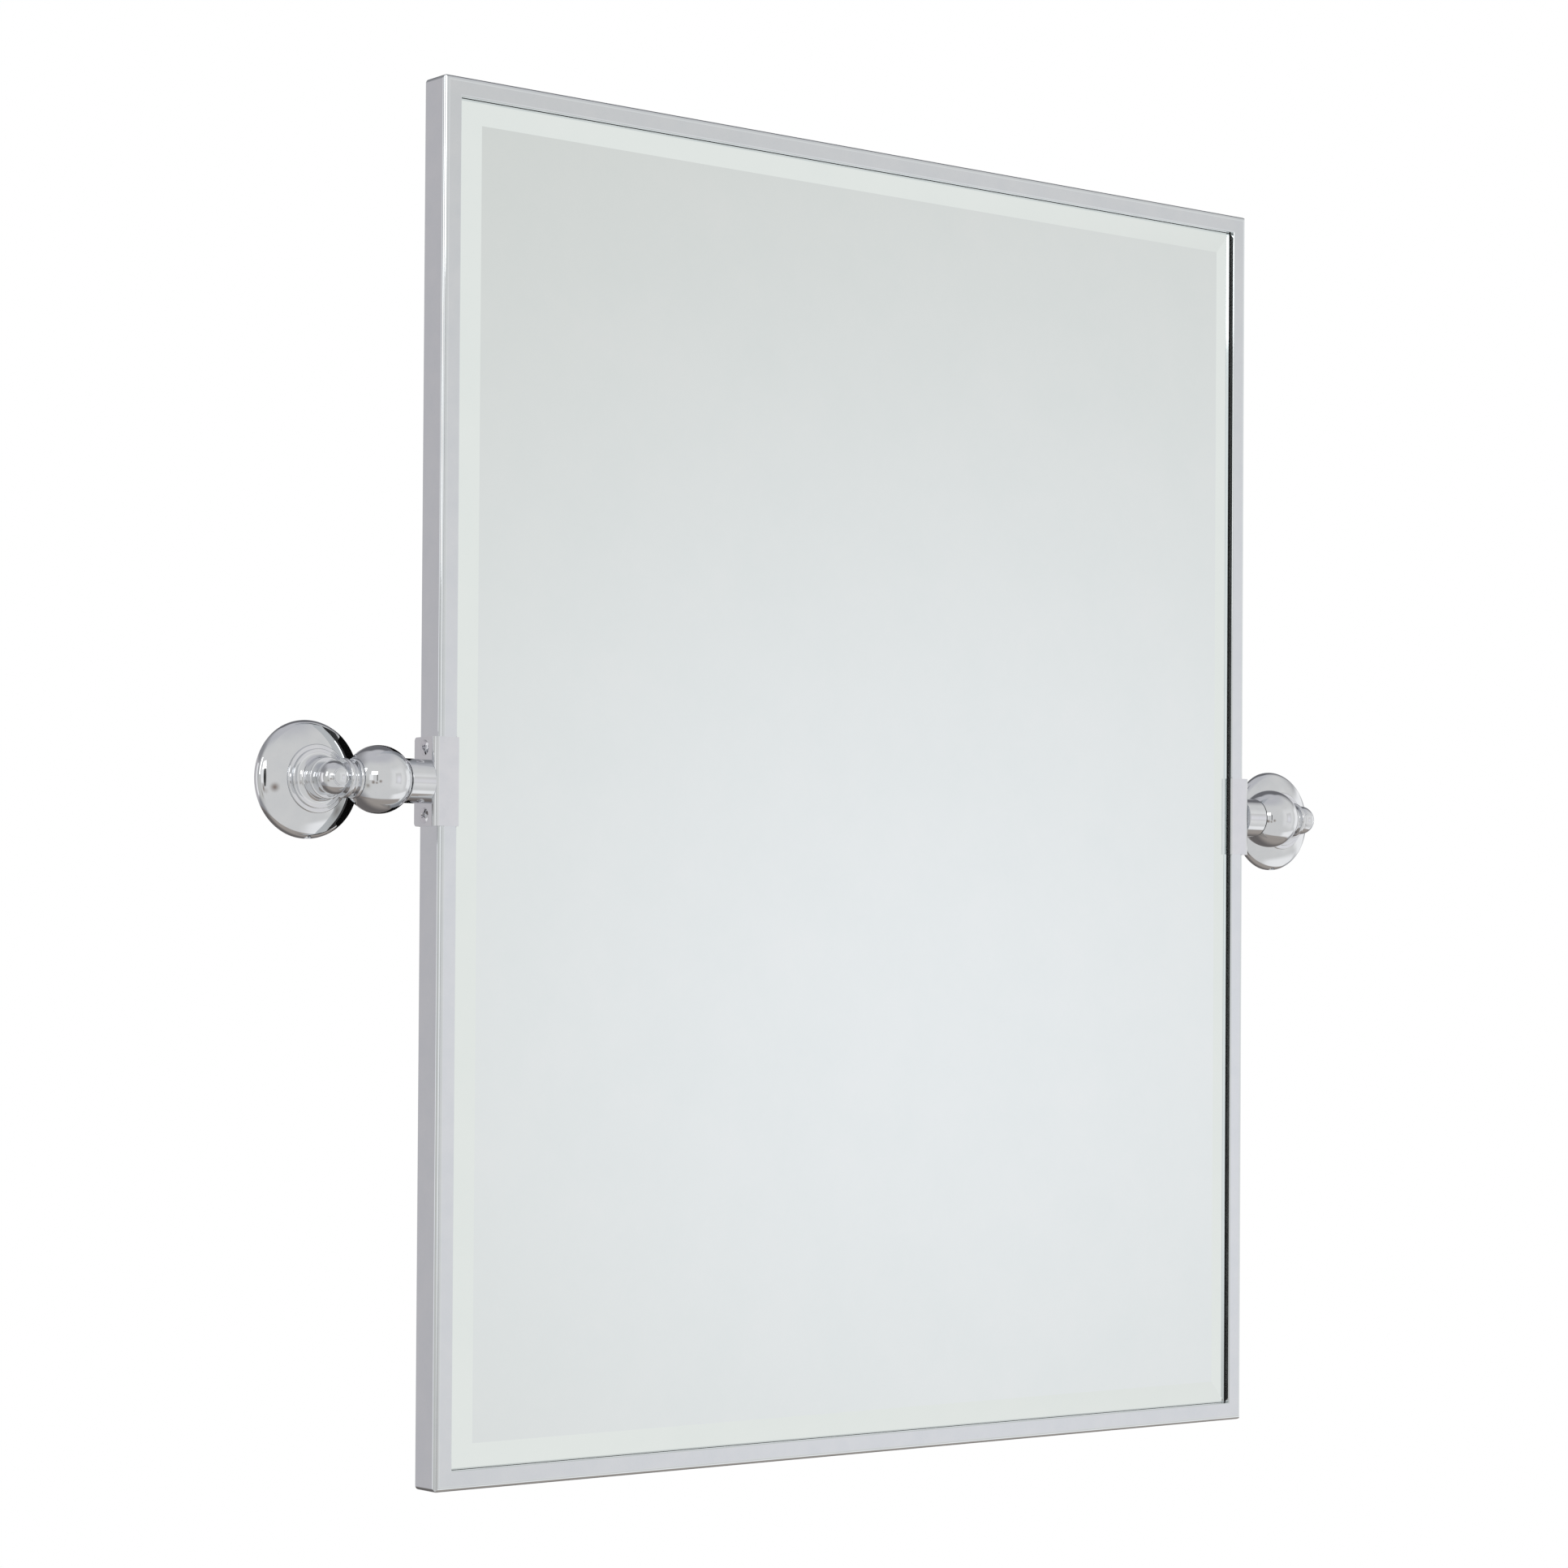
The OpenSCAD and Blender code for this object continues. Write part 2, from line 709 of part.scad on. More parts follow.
// Steel plate that is screwed to the wall, with a groove for the set screw
module wall_plate(side) {
    centre_hole_r = 7;
    sink_d = 2.2;
    groove_half = 1.5;
    color("darkgray") on_side(side) translate([post_x, 0, 0]) from_wall() difference() {
        cylinder(r = plate_r, h = plate_t);
        translate([0, 0, -eps]) cylinder(r = centre_hole_r, h = plate_t + 2 * eps);
        for (z = [-1, 1]) translate([0, z * plate_pitch / 2, 0]) {
            translate([0, 0, -eps]) cylinder(r = wall_hole_r, h = plate_t + 2 * eps);
            translate([0, 0, plate_t - sink_d])
                cylinder(r1 = wall_hole_r, r2 = wall_hole_r + sink_d, h = sink_d + eps);
        }
        translate([0, 0, plate_t / 2]) rotate_extrude() polygon([
            [plate_r + eps, -groove_half],
            [plate_r + eps, groove_half],
            [plate_r - groove_d, 0.2],
            [plate_r - groove_d, -0.2]
        ]);
    }
}

end_rail(1);  // frame_top_rail
end_rail(-1);  // frame_bottom_rail
side_rail(-1);  // frame_left_rail
side_rail(1);  // frame_right_rail
mirror_glass();
glazing_tape();
foam_sheet();
backing_board();
retainer_tabs();
clip(-1);  // left_clip
clip(1);  // right_clip
clip_screws();
nut_plate(-1);  // left_nut_plate
nut_plate(1);  // right_nut_plate
pivot_bush(-1);  // left_pivot_bush
pivot_bush(1);  // right_pivot_bush
spring_washer(-1);  // left_spring_washer
spring_washer(1);  // right_spring_washer
pivot_pin(-1);  // left_pivot_pin
pivot_pin(1);  // right_pivot_pin
friction_washer(-1);  // left_friction_washer
friction_washer(1);  // right_friction_washer
ball(-1);  // left_ball
ball(1);  // right_ball
arm(-1);  // left_arm
arm(1);  // right_arm
post(-1);  // left_post
post(1);  // right_post
post_screws();
flange(-1);  // left_flange
flange(1);  // right_flange
set_screws();
wall_plate(-1);  // left_wall_plate
wall_plate(1);  // right_wall_plate
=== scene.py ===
import math

import bpy
from mathutils import Matrix, Vector


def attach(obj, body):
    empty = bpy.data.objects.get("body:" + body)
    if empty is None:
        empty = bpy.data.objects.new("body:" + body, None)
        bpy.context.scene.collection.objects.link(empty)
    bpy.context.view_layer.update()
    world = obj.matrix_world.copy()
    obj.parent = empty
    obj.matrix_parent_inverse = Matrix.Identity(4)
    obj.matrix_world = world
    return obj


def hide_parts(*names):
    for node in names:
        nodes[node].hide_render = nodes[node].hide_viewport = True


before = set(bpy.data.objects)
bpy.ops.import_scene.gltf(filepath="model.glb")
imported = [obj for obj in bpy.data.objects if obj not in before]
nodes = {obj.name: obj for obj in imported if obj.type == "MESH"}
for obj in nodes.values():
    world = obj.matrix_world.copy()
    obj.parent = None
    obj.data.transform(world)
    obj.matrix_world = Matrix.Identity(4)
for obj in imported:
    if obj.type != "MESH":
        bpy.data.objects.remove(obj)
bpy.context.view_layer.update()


# ------------------------------------------------------------------- helpers

def mm(value):
    return value / 1000


def linear(hex_colour):
    """A written sRGB colour as linear red, green, blue and alpha."""
    values = [int(hex_colour[i:i + 2], 16) / 255 for i in (1, 3, 5)]
    return [v / 12.92 if v <= 0.04045 else ((v + 0.055) / 1.055) ** 2.4 for v in values] + [1.0]


def add(tree, kind, settings=None, inputs=None):
    """Adds a node to a tree. Each input is a value, or the output that feeds it."""
    node = tree.nodes.new(kind)
    for name, value in (settings or {}).items():
        setattr(node, name, value)
    for name, value in (inputs or {}).items():
        if isinstance(value, bpy.types.NodeSocket):
            tree.links.new(value, node.inputs[name])
        else:
            node.inputs[name].default_value = value
    return node


def work_out(tree, values, sums):
    """Works a list of sums out in a tree and keeps each result in values.

    A sum is its name, its operation and its terms: names in values, or numbers.
    """
    for name, operation, *terms in sums:
        inputs = {i: values.get(term, term) for i, term in enumerate(terms)}
        values[name] = add(tree, "ShaderNodeMath", {"operation": operation}, inputs).outputs[0]


def new_material(name):
    material = bpy.data.materials.new(name)
    material.use_nodes = True
    material.node_tree.nodes.clear()
    return material, material.node_tree


# Nearly all of a noise's values lie between these
NOISE_LOW, NOISE_HIGH = 0.3, 0.7


def pattern_space(tree, size_mm, stretch=(1, 1, 1)):
    """Places on the piece, counted in steps of size_mm, drawn out along each axis by stretch."""
    place = add(tree, "ShaderNodeTexCoord").outputs["Object"]
    steps = [1 / mm(size_mm * s) for s in stretch]
    return add(tree, "ShaderNodeMapping", inputs={"Vector": place, "Scale": steps}).outputs[0]


def mottled(tree, pattern, hex_low, hex_high, low=NOISE_LOW, high=NOISE_HIGH):
    """Two tints that follow a pattern: the first where it is low, the second where it is high."""
    share = add(tree, "ShaderNodeMapRange", inputs={
        "Value": pattern, "From Min": low, "From Max": high}).outputs[0]
    return add(tree, "ShaderNodeMix", {"data_type": "RGBA"}, {
        0: share, 6: linear(hex_low), 7: linear(hex_high)}).outputs[2]


# -------------------------------------------------------------------- camera
# Fitted to the photograph, in pixels of its whole 1932 x 1932 frame. The angles are in
# degrees: to the right of straight at the wall, up, and round the line of sight.

PHOTO_PX = 1932
CAMERA_MM = (-1468.4, -1782.2, -106.6)
CAMERA_YAW, CAMERA_PITCH, CAMERA_ROLL = 38.75, 0.88, 0.36
FOCAL_PX = 4806
SHIFT_UP_PX = 170.4
SENSOR_WIDTH = 36
FARTHEST_SEEN = 100


def aim_camera():
    yaw, pitch, roll = (math.radians(a) for a in (CAMERA_YAW, CAMERA_PITCH, CAMERA_ROLL))
    forward = Vector((
        math.sin(yaw) * math.cos(pitch), math.cos(yaw) * math.cos(pitch), math.sin(pitch)))
    level = Vector((math.cos(yaw), -math.sin(yaw), 0))
    raised = level.cross(forward)
    right = math.cos(roll) * level + math.sin(roll) * raised
    up = -math.sin(roll) * level + math.cos(roll) * raised
    turned = Matrix((right, up, -forward)).transposed()
    data = bpy.data.cameras.new("camera")
    camera = bpy.data.objects.new("camera", data)
    bpy.context.scene.collection.objects.link(camera)
    place = Matrix.Translation([mm(v) for v in CAMERA_MM])
    camera.matrix_world = place @ turned.to_4x4()
    data.sensor_width = SENSOR_WIDTH
    data.lens = FOCAL_PX / PHOTO_PX * SENSOR_WIDTH
    data.shift_y = SHIFT_UP_PX / PHOTO_PX
    data.clip_end = FARTHEST_SEEN
    bpy.context.scene.camera = camera


aim_camera()
bpy.context.scene.view_settings.view_transform = "Standard"


# ------------------------------------------------------------------ materials

def chrome_plate(name, hex_colour, shade, gloss, haze_mm, ripple_mm, ripple_depth_mm):
    """Bright chromium over polished nickel: a cool, almost white mirror.

    The buffing leaves a faint haze and a ripple that bends straight reflections
    a little; fingers and cloths leave hair-fine wipe marks.
    """
    material, tree = new_material(name)
    haze = add(tree, "ShaderNodeTexNoise", inputs={
        "Scale": 1.0, "Detail": 4.0, "Roughness": 0.6,
        "Vector": pattern_space(tree, haze_mm)}).outputs["Fac"]
    hazy = add(tree, "ShaderNodeMapRange", inputs={
        "Value": haze, "From Min": NOISE_LOW, "From Max": NOISE_HIGH,
        "To Min": gloss[0], "To Max": gloss[1]}).outputs[0]
    # Wipe marks are 0.4 mm wide and run up and down for 16 mm
    wipe = add(tree, "ShaderNodeTexNoise", inputs={
        "Scale": 1.0, "Detail": 2.0, "Roughness": 0.5,
        "Vector": pattern_space(tree, 0.4, (1, 1, 40))}).outputs["Fac"]
    wiped = add(tree, "ShaderNodeMapRange", inputs={
        "Value": wipe, "From Min": 0.55, "From Max": 0.75,
        "To Min": 0.0, "To Max": 0.015}).outputs[0]
    dullness = add(tree, "ShaderNodeMath", {"operation": "ADD"}, {0: hazy, 1: wiped}).outputs[0]
    ripple = add(tree, "ShaderNodeTexNoise", inputs={
        "Scale": 1.0, "Detail": 1.0, "Vector": pattern_space(tree, ripple_mm)}).outputs["Fac"]
    bump = add(tree, "ShaderNodeBump", inputs={
        "Strength": 1.0, "Distance": mm(ripple_depth_mm), "Height": ripple}).outputs[0]
    shader = add(tree, "ShaderNodeBsdfPrincipled", inputs={
        "Metallic": 1.0, "Base Color": mottled(tree, haze, hex_colour, shade),
        "Roughness": dullness, "Normal": bump}).outputs[0]
    add(tree, "ShaderNodeOutputMaterial", inputs={"Surface": shader})
    return material


def zinc_plate(name):
    """Zinc-plated mild steel: a satin blue-grey metal with rolled grain and dull spots."""
    material, tree = new_material(name)
    grain = add(tree, "ShaderNodeTexNoise", inputs={
        "Scale": 1.0, "Detail": 5.0, "Roughness": 0.65,
        "Vector": pattern_space(tree, 0.8, (1, 6, 1))}).outputs["Fac"]
    spots = add(tree, "ShaderNodeTexNoise", inputs={
        "Scale": 1.0, "Detail": 3.0, "Vector": pattern_space(tree, 6)}).outputs["Fac"]
    satin = add(tree, "ShaderNodeMapRange", inputs={
        "Value": grain, "From Min": NOISE_LOW, "From Max": NOISE_HIGH,
        "To Min": 0.28, "To Max": 0.5}).outputs[0]
    bump = add(tree, "ShaderNodeBump", inputs={
        "Strength": 0.6, "Distance": mm(0.02), "Height": grain}).outputs[0]
    shader = add(tree, "ShaderNodeBsdfPrincipled", inputs={
        "Metallic": 1.0, "Base Color": mottled(tree, spots, "#B9BDC2", "#8F9499"),
        "Roughness": satin, "Normal": bump}).outputs[0]
    add(tree, "ShaderNodeOutputMaterial", inputs={"Surface": shader})
    return material


GLASS_IOR = 1.52


def silvered_glass(name):
    """Silvered float glass, bevelled: a faintly green mirror under a clear face.

    The silver lies flat behind the bevel, so the glass bends the reflection by only
    0.52 of the bevel's tilt, which is its refractive index less one.
    """
    material, tree = new_material(name)
    flat = add(tree, "ShaderNodeVectorTransform", {
        "vector_type": "NORMAL", "convert_from": "OBJECT", "convert_to": "WORLD"}, {
        0: (0, -1, 0)}).outputs[0]
    face = add(tree, "ShaderNodeNewGeometry").outputs["Normal"]
    bent = add(tree, "ShaderNodeMix", {"data_type": "VECTOR"}, {
        0: GLASS_IOR - 1, 4: flat, 5: face}).outputs[1]
    normal = add(tree, "ShaderNodeVectorMath", {"operation": "NORMALIZE"}, {0: bent}).outputs[0]
    dust = add(tree, "ShaderNodeTexNoise", inputs={
        "Scale": 1.0, "Detail": 6.0, "Roughness": 0.7,
        "Vector": pattern_space(tree, 45)}).outputs["Fac"]
    dusty = add(tree, "ShaderNodeMapRange", inputs={
        "Value": dust, "From Min": NOISE_LOW, "From Max": NOISE_HIGH,
        "To Min": 0.0, "To Max": 0.02}).outputs[0]
    shader = add(tree, "ShaderNodeBsdfPrincipled", inputs={
        "Metallic": 1.0, "Coat Weight": 1.0, "Coat Roughness": 0.0, "Coat IOR": GLASS_IOR,
        "Base Color": mottled(tree, dust, "#F2F7F5", "#EFF5F3"),
        "Roughness": dusty, "Normal": normal}).outputs[0]
    add(tree, "ShaderNodeOutputMaterial", inputs={"Surface": shader})
    return material


def moulded_plastic(name, hex_colour, shade, grain_mm, roughness):
    """Moulded nylon: a satin skin with a fine grain that is a little uneven in tint."""
    material, tree = new_material(name)
    grain = add(tree, "ShaderNodeTexNoise", inputs={
        "Scale": 1.0, "Detail": 3.0, "Vector": pattern_space(tree, grain_mm)}).outputs["Fac"]
    satin = add(tree, "ShaderNodeMapRange", inputs={
        "Value": grain, "From Min": NOISE_LOW, "From Max": NOISE_HIGH,
        "To Min": roughness - 0.08, "To Max": roughness + 0.08}).outputs[0]
    bump = add(tree, "ShaderNodeBump", inputs={
        "Strength": 0.5, "Distance": mm(0.02), "Height": grain}).outputs[0]
    shader = add(tree, "ShaderNodeBsdfPrincipled", inputs={
        "IOR": 1.53, "Base Color": mottled(tree, grain, hex_colour, shade),
        "Roughness": satin, "Normal": bump}).outputs[0]
    add(tree, "ShaderNodeOutputMaterial", inputs={"Surface": shader})
    return material


def cellular_foam(name, hex_colour, shade, cell_mm):
    """Closed-cell polyethylene foam: matt, with small cells cut open at its edges, and painted
    shade that darkens each cell's hollow.
    """
    material, tree = new_material(name)
    cells = add(tree, "ShaderNodeTexVoronoi", inputs={
        "Scale": 1.0, "Vector": pattern_space(tree, cell_mm)}).outputs["Distance"]
    bump = add(tree, "ShaderNodeBump", inputs={
        "Strength": 0.8, "Distance": mm(0.15), "Height": cells}).outputs[0]
    # The second tint lies in the cells' hollows, where the bump is lowest: painted shade.
    shader = add(tree, "ShaderNodeBsdfPrincipled", inputs={
        "Roughness": 0.85, "IOR": 1.5, "Normal": bump,
        "Base Color": mottled(tree, cells, shade, hex_colour, 0.1, 0.6)}).outputs[0]
    add(tree, "ShaderNodeOutputMaterial", inputs={"Surface": shader})
    return material


def hardboard(name):
    """Pressed wood-fibre board, painted matt black.

    The paint leaves the felted fibres, their flecks and the print of the press screen
    to be seen, as small changes of black and a shallow relief.
    """
    material, tree = new_material(name)
    fibres = add(tree, "ShaderNodeTexNoise", inputs={
        "Scale": 1.0, "Detail": 8.0, "Roughness": 0.75, "Distortion": 1.5,
        "Vector": pattern_space(tree, 9)}).outputs["Fac"]
    flecks = add(tree, "ShaderNodeTexNoise", inputs={
        "Scale": 1.0, "Detail": 2.0,
        "Vector": pattern_space(tree, 0.9, (3, 1, 1))}).outputs["Fac"]
    screen = add(tree, "ShaderNodeTexVoronoi", {"distance": "CHEBYCHEV"}, {
        "Scale": 1.0, "Randomness": 0.12,
        "Vector": pattern_space(tree, 1.6)}).outputs["Distance"]
    paint = add(tree, "ShaderNodeMix", {"data_type": "RGBA", "blend_type": "MULTIPLY"}, {
        0: 0.5, 6: mottled(tree, fibres, "#1C1B1B", "#121212"),
        7: mottled(tree, flecks, "#FFFFFF", "#8E8E8E")}).outputs[2]
    printed = add(tree, "ShaderNodeBump", inputs={
        "Strength": 0.7, "Distance": mm(0.25), "Height": screen}).outputs[0]
    bump = add(tree, "ShaderNodeBump", inputs={
        "Strength": 0.5, "Distance": mm(0.1), "Height": flecks, "Normal": printed}).outputs[0]
    matt = add(tree, "ShaderNodeMapRange", inputs={
        "Value": fibres, "From Min": NOISE_LOW, "From Max": NOISE_HIGH,
        "To Min": 0.6, "To Max": 0.8}).outputs[0]
    shader = add(tree, "ShaderNodeBsdfPrincipled", inputs={
        "IOR": 1.5, "Base Color": paint, "Roughness": matt, "Normal": bump}).outputs[0]
    add(tree, "ShaderNodeOutputMaterial", inputs={"Surface": shader})
    return material


def dress(node_names, material):
    for name in node_names:
        mesh = nodes[name].data
        mesh.materials.clear()
        mesh.materials.append(material)


def both(piece):
    return ["left_" + piece, "right_" + piece]


# Chrome: its two tints, its lowest and highest roughness, and the sizes in mm of its
# haze and its ripple, and the ripple's depth
rolled_chrome = chrome_plate(
    "rolled_chrome_plate", "#E5E8EA", "#E0E4E7", (0.03, 0.06), 14, 60, 0.012)
turned_chrome = chrome_plate(
    "turned_chrome_plate", "#E5E6E8", "#DFE1E4", (0.015, 0.045), 9, 14, 0.004)
screw_chrome = chrome_plate(
    "screw_chrome_plate", "#E2E2E5", "#D9D9DD", (0.04, 0.1), 2, 5, 0.004)
zinc_steel = zinc_plate("zinc_plated_steel")
mirror_silver = silvered_glass("silvered_bevelled_glass")
natural_nylon = moulded_plastic("natural_nylon", "#DCD8CA", "#D2CDBD", 0.6, 0.45)
black_nylon = moulded_plastic("black_nylon", "#1B1B1C", "#131314", 0.6, 0.5)
white_foam = cellular_foam("white_pe_foam", "#E4E4E0", "#C9C9C4", 0.8)
black_tape = cellular_foam("black_foam_tape", "#161616", "#0E0E0E", 0.4)
black_board = hardboard("black_painted_hardboard")

dress(["frame_top_rail", "frame_bottom_rail", "frame_left_rail", "frame_right_rail"],
      rolled_chrome)
dress(both("clip") + both("ball") + both("arm") + both("post") + both("flange"), turned_chrome)
dress(["clip_screws"], screw_chrome)
dress(both("nut_plate") + both("spring_washer") + both("pivot_pin") + both("wall_plate"),
      zinc_steel)
dress(["post_screws", "set_screws", "retainer_tabs"], zinc_steel)
dress(["mirror_glass"], mirror_silver)
dress(["glazing_tape"], black_tape)
dress(["foam_sheet"], white_foam)
dress(["backing_board"], black_board)
dress(both("pivot_bush"), natural_nylon)
dress(both("friction_washer"), black_nylon)


# --------------------------------------------------------------- clip screws
# Domed countersunk screws with a tapered cross recess, at the corners of an upright
# rectangle, whose heads face outwards from the two outer sides of the clips.

# In mm, but for the taper, which is the share of the recess's width that is left at
# its bottom, and the twist, in radians. The tree ends by scaling mm down to metres.
SCREW_SIZES = {
    "Head Radius": 4.2, "Dome Height": 0.8, "Head Depth": 1.75, "Shank Radius": 2.2,
    "Length": 9.3, "Recess Length": 4.2, "Recess Width": 1.1, "Recess Depth": 1.9,
    "Recess Taper": 0.35, "Pitch": 36.5, "Across": 618, "Stand-off": 28, "Most Twist": 1.5,
}
# The turned profile has a point at the shank's end, one at its rim, one at the neck,
# and then the dome's, from the head's edge at height 0 up to its middle.
STRAIGHT_POINTS = 3
DOME_STEPS = 12
LAST_POINT = STRAIGHT_POINTS + DOME_STEPS
TURNS = 96
MERGE_MM = 0.0005
# The recess is cut by two wedges. The first reaches a little above the dome, so that
# it cuts through, and the second is this much shallower, so that no faces of the two
# lie in one plane.
FIRST_WEDGE, SECOND_WEDGE = 1.02, 0.95
TWIST_SEED = 7
SHARP_ANGLE = 25
QUARTER = math.pi / 2


def screw_tree():
    tree = bpy.data.node_groups.new("cross_recessed_screws", "GeometryNodeTree")
    for name in SCREW_SIZES:
        tree.interface.new_socket(name, in_out="INPUT", socket_type="NodeSocketFloat")
    tree.interface.new_socket("Material", in_out="INPUT", socket_type="NodeSocketMaterial")
    tree.interface.new_socket("Geometry", in_out="OUTPUT", socket_type="NodeSocketGeometry")
    size = {s.name: s for s in add(tree, "NodeGroupInput").outputs if s.name}
    here = add(tree, "GeometryNodeInputPosition").outputs[0]
    axes = add(tree, "ShaderNodeSeparateXYZ", inputs={0: here}).outputs
    size["x"], size["y"] = axes["X"], axes["Y"]
    work_out(tree, size, (
        # A flat grid holds the profile: x is the point's number, y how far round it is
        ("point", "ADD", "x", LAST_POINT / 2),
        ("round", "MULTIPLY", "y", math.tau / TURNS),
        ("head squared", "MULTIPLY", "Head Radius", "Head Radius"),
        ("dome squared", "MULTIPLY", "Dome Height", "Dome Height"),
        ("squares", "ADD", "head squared", "dome squared"),
        ("dome twice", "MULTIPLY", "Dome Height", 2),
        ("ball radius", "DIVIDE", "squares", "dome twice"),
        ("edge sine", "DIVIDE", "Head Radius", "ball radius"),
        ("edge angle", "ARCSINE", "edge sine"),
        ("points left", "SUBTRACT", LAST_POINT, "point"),
        ("share left", "DIVIDE", "points left", DOME_STEPS),
        ("angle", "MULTIPLY", "edge angle", "share left"),
        ("sine", "SINE", "angle"),
        ("dome out", "MULTIPLY", "ball radius", "sine"),
        ("ball middle", "SUBTRACT", "Dome Height", "ball radius"),
        ("cosine", "COSINE", "angle"),
        ("above middle", "MULTIPLY", "ball radius", "cosine"),
        ("dome up", "ADD", "ball middle", "above middle"),
        ("centre", "MULTIPLY", "Shank Radius", 0),
        ("end", "MULTIPLY", "Length", -1),
        ("neck", "MULTIPLY", "Head Depth", -1),
        ("part", "MINIMUM", "point", STRAIGHT_POINTS),
    ))
    part = add(tree, "FunctionNodeFloatToInt", {"rounding_mode": "ROUND"}, {
        0: size["part"]}).outputs[0]
    for result, choices in (("out", ("centre", "Shank Radius", "Shank Radius", "dome out")),
                            ("height", ("end", "end", "neck", "dome up"))):
        choice = add(tree, "GeometryNodeIndexSwitch", {"data_type": "FLOAT"}, {"Index": part})
        while len(choice.index_switch_items) < len(choices):
            choice.index_switch_items.new()
        for number, name in enumerate(choices):
            tree.links.new(size[name], choice.inputs[number + 1])
        size[result] = choice.outputs[0]
    work_out(tree, size, (
        ("cosine round", "COSINE", "round"),
        ("turned x", "MULTIPLY", "out", "cosine round"),
        ("sine round", "SINE", "round"),
        ("turned y", "MULTIPLY", "out", "sine round"),
    ))
    flat = add(tree, "GeometryNodeMeshGrid", inputs={
        "Size X": LAST_POINT, "Size Y": TURNS,
        "Vertices X": LAST_POINT + 1, "Vertices Y": TURNS + 1}).outputs["Mesh"]
    turned_place = add(tree, "ShaderNodeCombineXYZ", inputs={
        "X": size["turned x"], "Y": size["turned y"], "Z": size["height"]}).outputs[0]
    turned = add(tree, "GeometryNodeSetPosition", inputs={
        "Geometry": flat, "Position": turned_place}).outputs[0]
    plain_screw = add(tree, "GeometryNodeMergeByDistance", inputs={
        "Geometry": turned, "Distance": MERGE_MM}).outputs[0]

    # Cross recess: two four-sided wedges, narrower at the bottom
    work_out(tree, size, (
        ("recess bottom", "MULTIPLY", "Recess Depth", -1),
        ("wedge height", "ADD", "recess bottom", "Dome Height"),
        ("top corner", "MULTIPLY", "Recess Width", math.sqrt(0.5)),
        ("bottom corner", "MULTIPLY", "top corner", "Recess Taper"),
        ("stretch", "DIVIDE", "Recess Length", "Recess Width"),
    ))
    pyramid = add(tree, "GeometryNodeMeshCone", inputs={
        "Vertices": 4, "Radius Top": size["top corner"],
        "Radius Bottom": size["bottom corner"], "Depth": size["Recess Depth"]}).outputs["Mesh"]
    lowered = add(tree, "ShaderNodeCombineXYZ", inputs={"Z": size["wedge height"]}).outputs[0]
    wedge = add(tree, "GeometryNodeTransform", inputs={
        "Geometry": pyramid, "Rotation": (0, 0, QUARTER / 2), "Translation": lowered}).outputs[0]
    long_scale = add(tree, "ShaderNodeCombineXYZ", inputs={
        "X": size["stretch"], "Y": 1.0, "Z": FIRST_WEDGE}).outputs[0]
    along = add(tree, "GeometryNodeTransform", inputs={
        "Geometry": wedge, "Scale": long_scale}).outputs[0]
    across = add(tree, "GeometryNodeTransform", inputs={
        "Geometry": along, "Rotation": (0, 0, QUARTER),
        "Scale": (1, 1, SECOND_WEDGE)}).outputs[0]
    recessed = add(tree, "GeometryNodeMeshBoolean", {
        "operation": "DIFFERENCE", "solver": "EXACT"}, {"Mesh 1": plain_screw})
    for tool in (along, across):
        tree.links.new(tool, recessed.inputs["Mesh 2"])

    # Four places, heads outwards, each screw turned a little as a hand leaves it
    work_out(tree, size, (
        ("in front", "MULTIPLY", "Stand-off", -1),
        ("side", "SIGN", "x"),
        ("lean", "MULTIPLY", "side", QUARTER),
    ))
    rectangle = add(tree, "GeometryNodeMeshGrid", inputs={
        "Vertices X": 2, "Vertices Y": 2,
        "Size X": size["Across"], "Size Y": size["Pitch"]}).outputs["Mesh"]
    axis_place = add(tree, "ShaderNodeCombineXYZ", inputs={"Y": size["in front"]}).outputs[0]
    places = add(tree, "GeometryNodeTransform", inputs={
        "Geometry": rectangle, "Rotation": (QUARTER, 0, 0),
        "Translation": axis_place}).outputs[0]
    outwards = add(tree, "ShaderNodeCombineXYZ", inputs={"Y": size["lean"]}).outputs[0]
    twist = add(tree, "FunctionNodeRandomValue", inputs={
        2: 0.0, 3: size["Most Twist"], "Seed": TWIST_SEED}).outputs[1]
    twisted = add(tree, "ShaderNodeCombineXYZ", inputs={"Z": twist}).outputs[0]
    facing = add(tree, "FunctionNodeRotateEuler", {"space": "LOCAL"}, {
        "Rotation": outwards, "Rotate By": twisted}).outputs[0]
    copies = add(tree, "GeometryNodeInstanceOnPoints", inputs={
        "Points": places, "Instance": recessed.outputs["Mesh"], "Rotation": facing}).outputs[0]
    real = add(tree, "GeometryNodeRealizeInstances", inputs={0: copies}).outputs[0]
    metres = add(tree, "GeometryNodeTransform", inputs={
        "Geometry": real, "Scale": (mm(1), mm(1), mm(1))}).outputs[0]
    plated = add(tree, "GeometryNodeSetMaterial", inputs={
        "Geometry": metres, "Material": size["Material"]}).outputs[0]
    add(tree, "NodeGroupOutput", inputs={0: plated})
    return tree


def make_screws():
    name = "cross_recessed_clip_screws"
    piece = bpy.data.objects.new(name, bpy.data.meshes.new(name))
    bpy.context.scene.collection.objects.link(piece)
    modifier = piece.modifiers.new("screws", "NODES")
    modifier.node_group = screw_tree()
    for item in modifier.node_group.interface.items_tree:
        if item.name == "Material":
            modifier[item.identifier] = screw_chrome
        elif item.in_out == "INPUT":
            modifier[item.identifier] = float(SCREW_SIZES[item.name])
    evaluated = piece.evaluated_get(bpy.context.evaluated_depsgraph_get())
    made = bpy.data.meshes.new_from_object(evaluated)
    piece.modifiers.clear()
    piece.data = made
    made.shade_smooth()
    made.set_sharp_from_angle(angle=math.radians(SHARP_ANGLE))
    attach(piece, "mirror")
    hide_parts("clip_screws")


make_screws()


